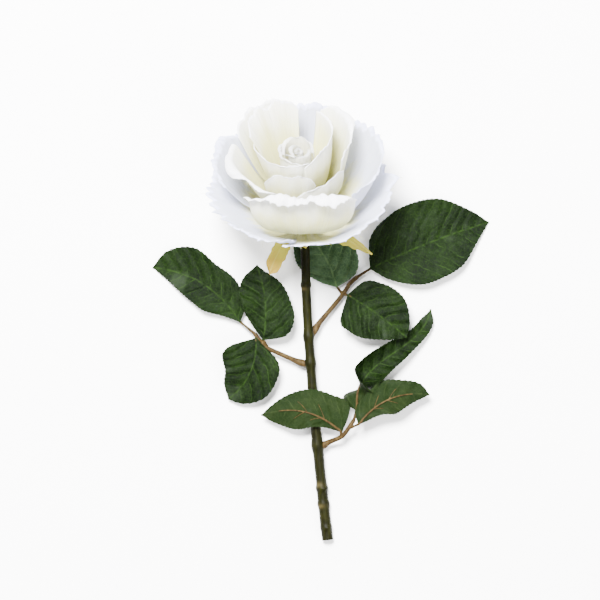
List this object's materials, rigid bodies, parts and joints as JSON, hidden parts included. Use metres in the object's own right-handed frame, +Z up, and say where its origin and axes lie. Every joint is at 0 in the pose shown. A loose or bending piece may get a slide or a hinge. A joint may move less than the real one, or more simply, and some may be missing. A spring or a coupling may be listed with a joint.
{
  "type": "cut rose",
  "caption": "White fabric rose with an open head, toothed leaves on three moulded side stalks and a bare stem cut straight across, lying on a table with its head bent up.",
  "frame": {"origin": "middle of the footprint, on the surface that the rose lies on", "axes": "+X to the right of the stem, +Y along the stem towards the flower, +Z up"},
  "size_m": [0.1872, 0.2432, 0.0882],
  "materials": {
    "petal": "soft white woven petal cloth, creamy towards the heart",
    "leaf": "printed dark green leaf cloth with pale veins, olive on the back",
    "stalk": "matt tan-brown moulded plastic",
    "stem": "satin dark olive-brown moulded plastic with pale scars",
    "calyx": "stiffened yellow-green cloth, tan towards the tips"
  },
  "bodies": {
    "root": {"bud_heart": "petal", "bud_petal_left": "petal", "bud_petal_front": "petal", "bud_petal_back": "petal", "bud_petal_outer": "petal", "inner_petal_right": "petal", "inner_petal_left": "petal", "inner_petal_back": "petal", "middle_petal_front": "petal", "middle_petal_right": "petal", "middle_petal_left": "petal", "back_petal_right": "petal", "back_petal_left": "petal", "front_petal": "petal", "outer_petal_right": "petal", "outer_petal_left": "petal", "outer_petal_back": "petal", "low_petal_left": "petal", "low_petal_right": "petal", "resting_petal_right": "petal", "resting_petal_left": "petal", "calyx_cup": "calyx", "sepal_left": "calyx", "sepal_front": "calyx", "sepal_right": "calyx", "sepal_back_right": "calyx", "sepal_back_left": "calyx", "stem": "stem", "leaf_left_end": "leaf", "leaf_left_upper": "leaf", "leaf_left_lower": "leaf", "leaf_right_end": "leaf", "leaf_right_under": "leaf", "leaf_right_lower": "leaf", "leaf_low_left": "leaf", "leaf_low_right": "leaf", "leaf_low_end": "leaf", "stalk_left": "stalk", "stalk_right": "stalk", "stalk_low": "stalk"}
  },
  "joints": []
}
